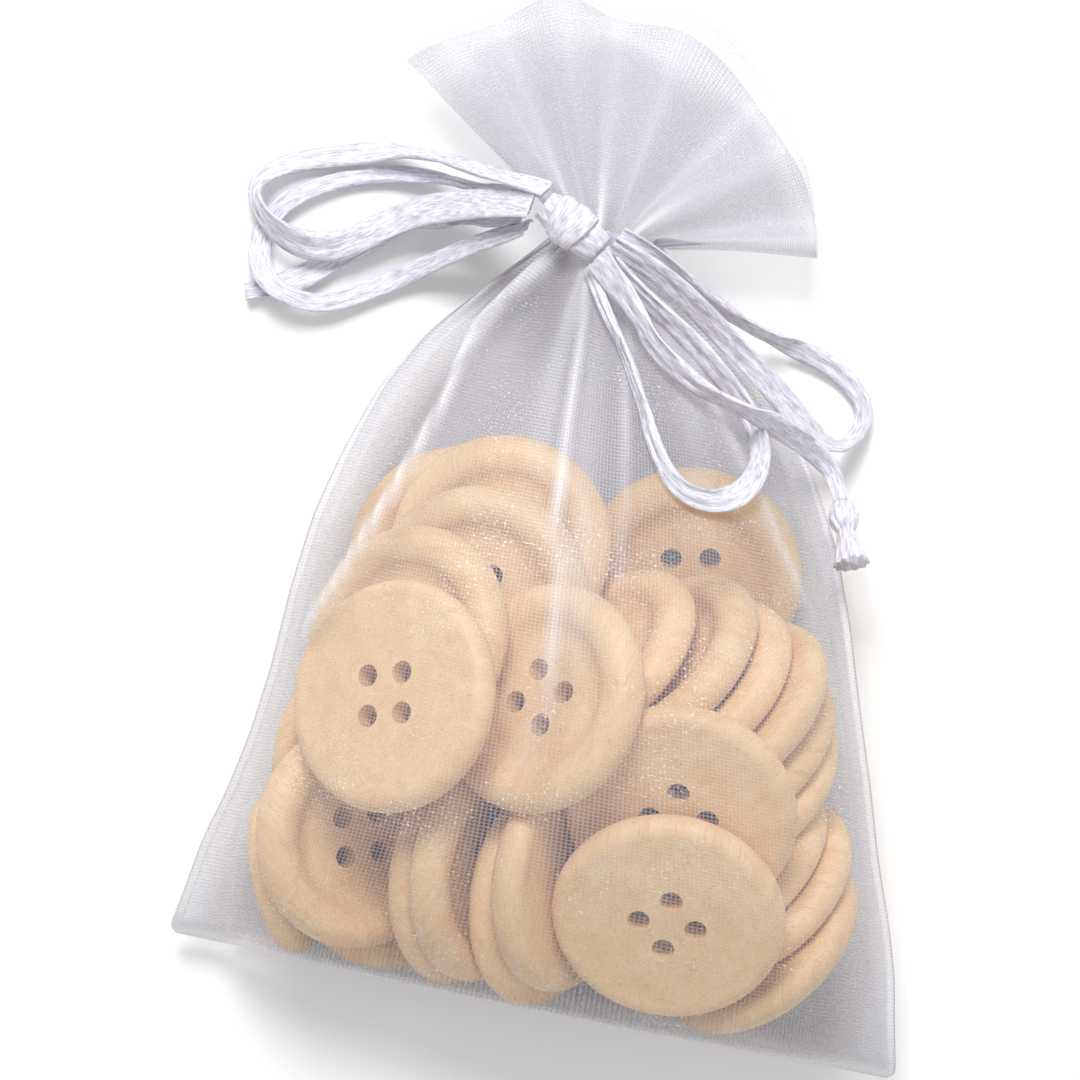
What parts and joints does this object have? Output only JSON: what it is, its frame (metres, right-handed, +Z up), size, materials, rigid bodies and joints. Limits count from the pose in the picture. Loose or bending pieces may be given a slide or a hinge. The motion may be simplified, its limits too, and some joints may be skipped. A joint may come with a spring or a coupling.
{
  "type": "bag of wooden buttons",
  "caption": "Sheer organza drawstring bag lying on its back, filled with round four-hole wooden buttons and closed with a satin ribbon bow.",
  "frame": {"origin": "on the table, under the middle of the bag's bounding box, ribbons left out", "axes": "+X along the bottom fold to the right, +Y from the bottom fold towards the mouth, +Z up from the table"},
  "size_m": [0.1104, 0.134, 0.0431],
  "materials": {
    "wood": "bare sanded pale wood",
    "organza": "sheer woven organza",
    "ribbon": "satin ribbon"
  },
  "bodies": {
    "root": {"button_01": "wood", "button_02": "wood", "button_03": "wood", "button_04": "wood", "button_05": "wood", "button_06": "wood", "button_07": "wood", "button_08": "wood", "button_09": "wood", "button_10": "wood", "button_11": "wood", "button_12": "wood", "button_13": "wood", "button_14": "wood", "button_15": "wood", "button_16": "wood", "button_17": "wood", "button_18": "wood", "button_19": "wood", "button_20": "wood", "button_21": "wood", "button_22": "wood", "button_23": "wood", "button_24": "wood", "button_25": "wood", "button_26": "wood", "organza_bag": "organza", "ribbon_bow_knot": "ribbon", "ribbon_end_knot": "ribbon", "ribbon_left_lower": "ribbon", "ribbon_left_tail": "ribbon", "ribbon_left_upper": "ribbon", "ribbon_right_lower": "ribbon", "ribbon_right_outer": "ribbon", "ribbon_right_tail": "ribbon", "ribbon_turn": "ribbon"}
  },
  "joints": []
}
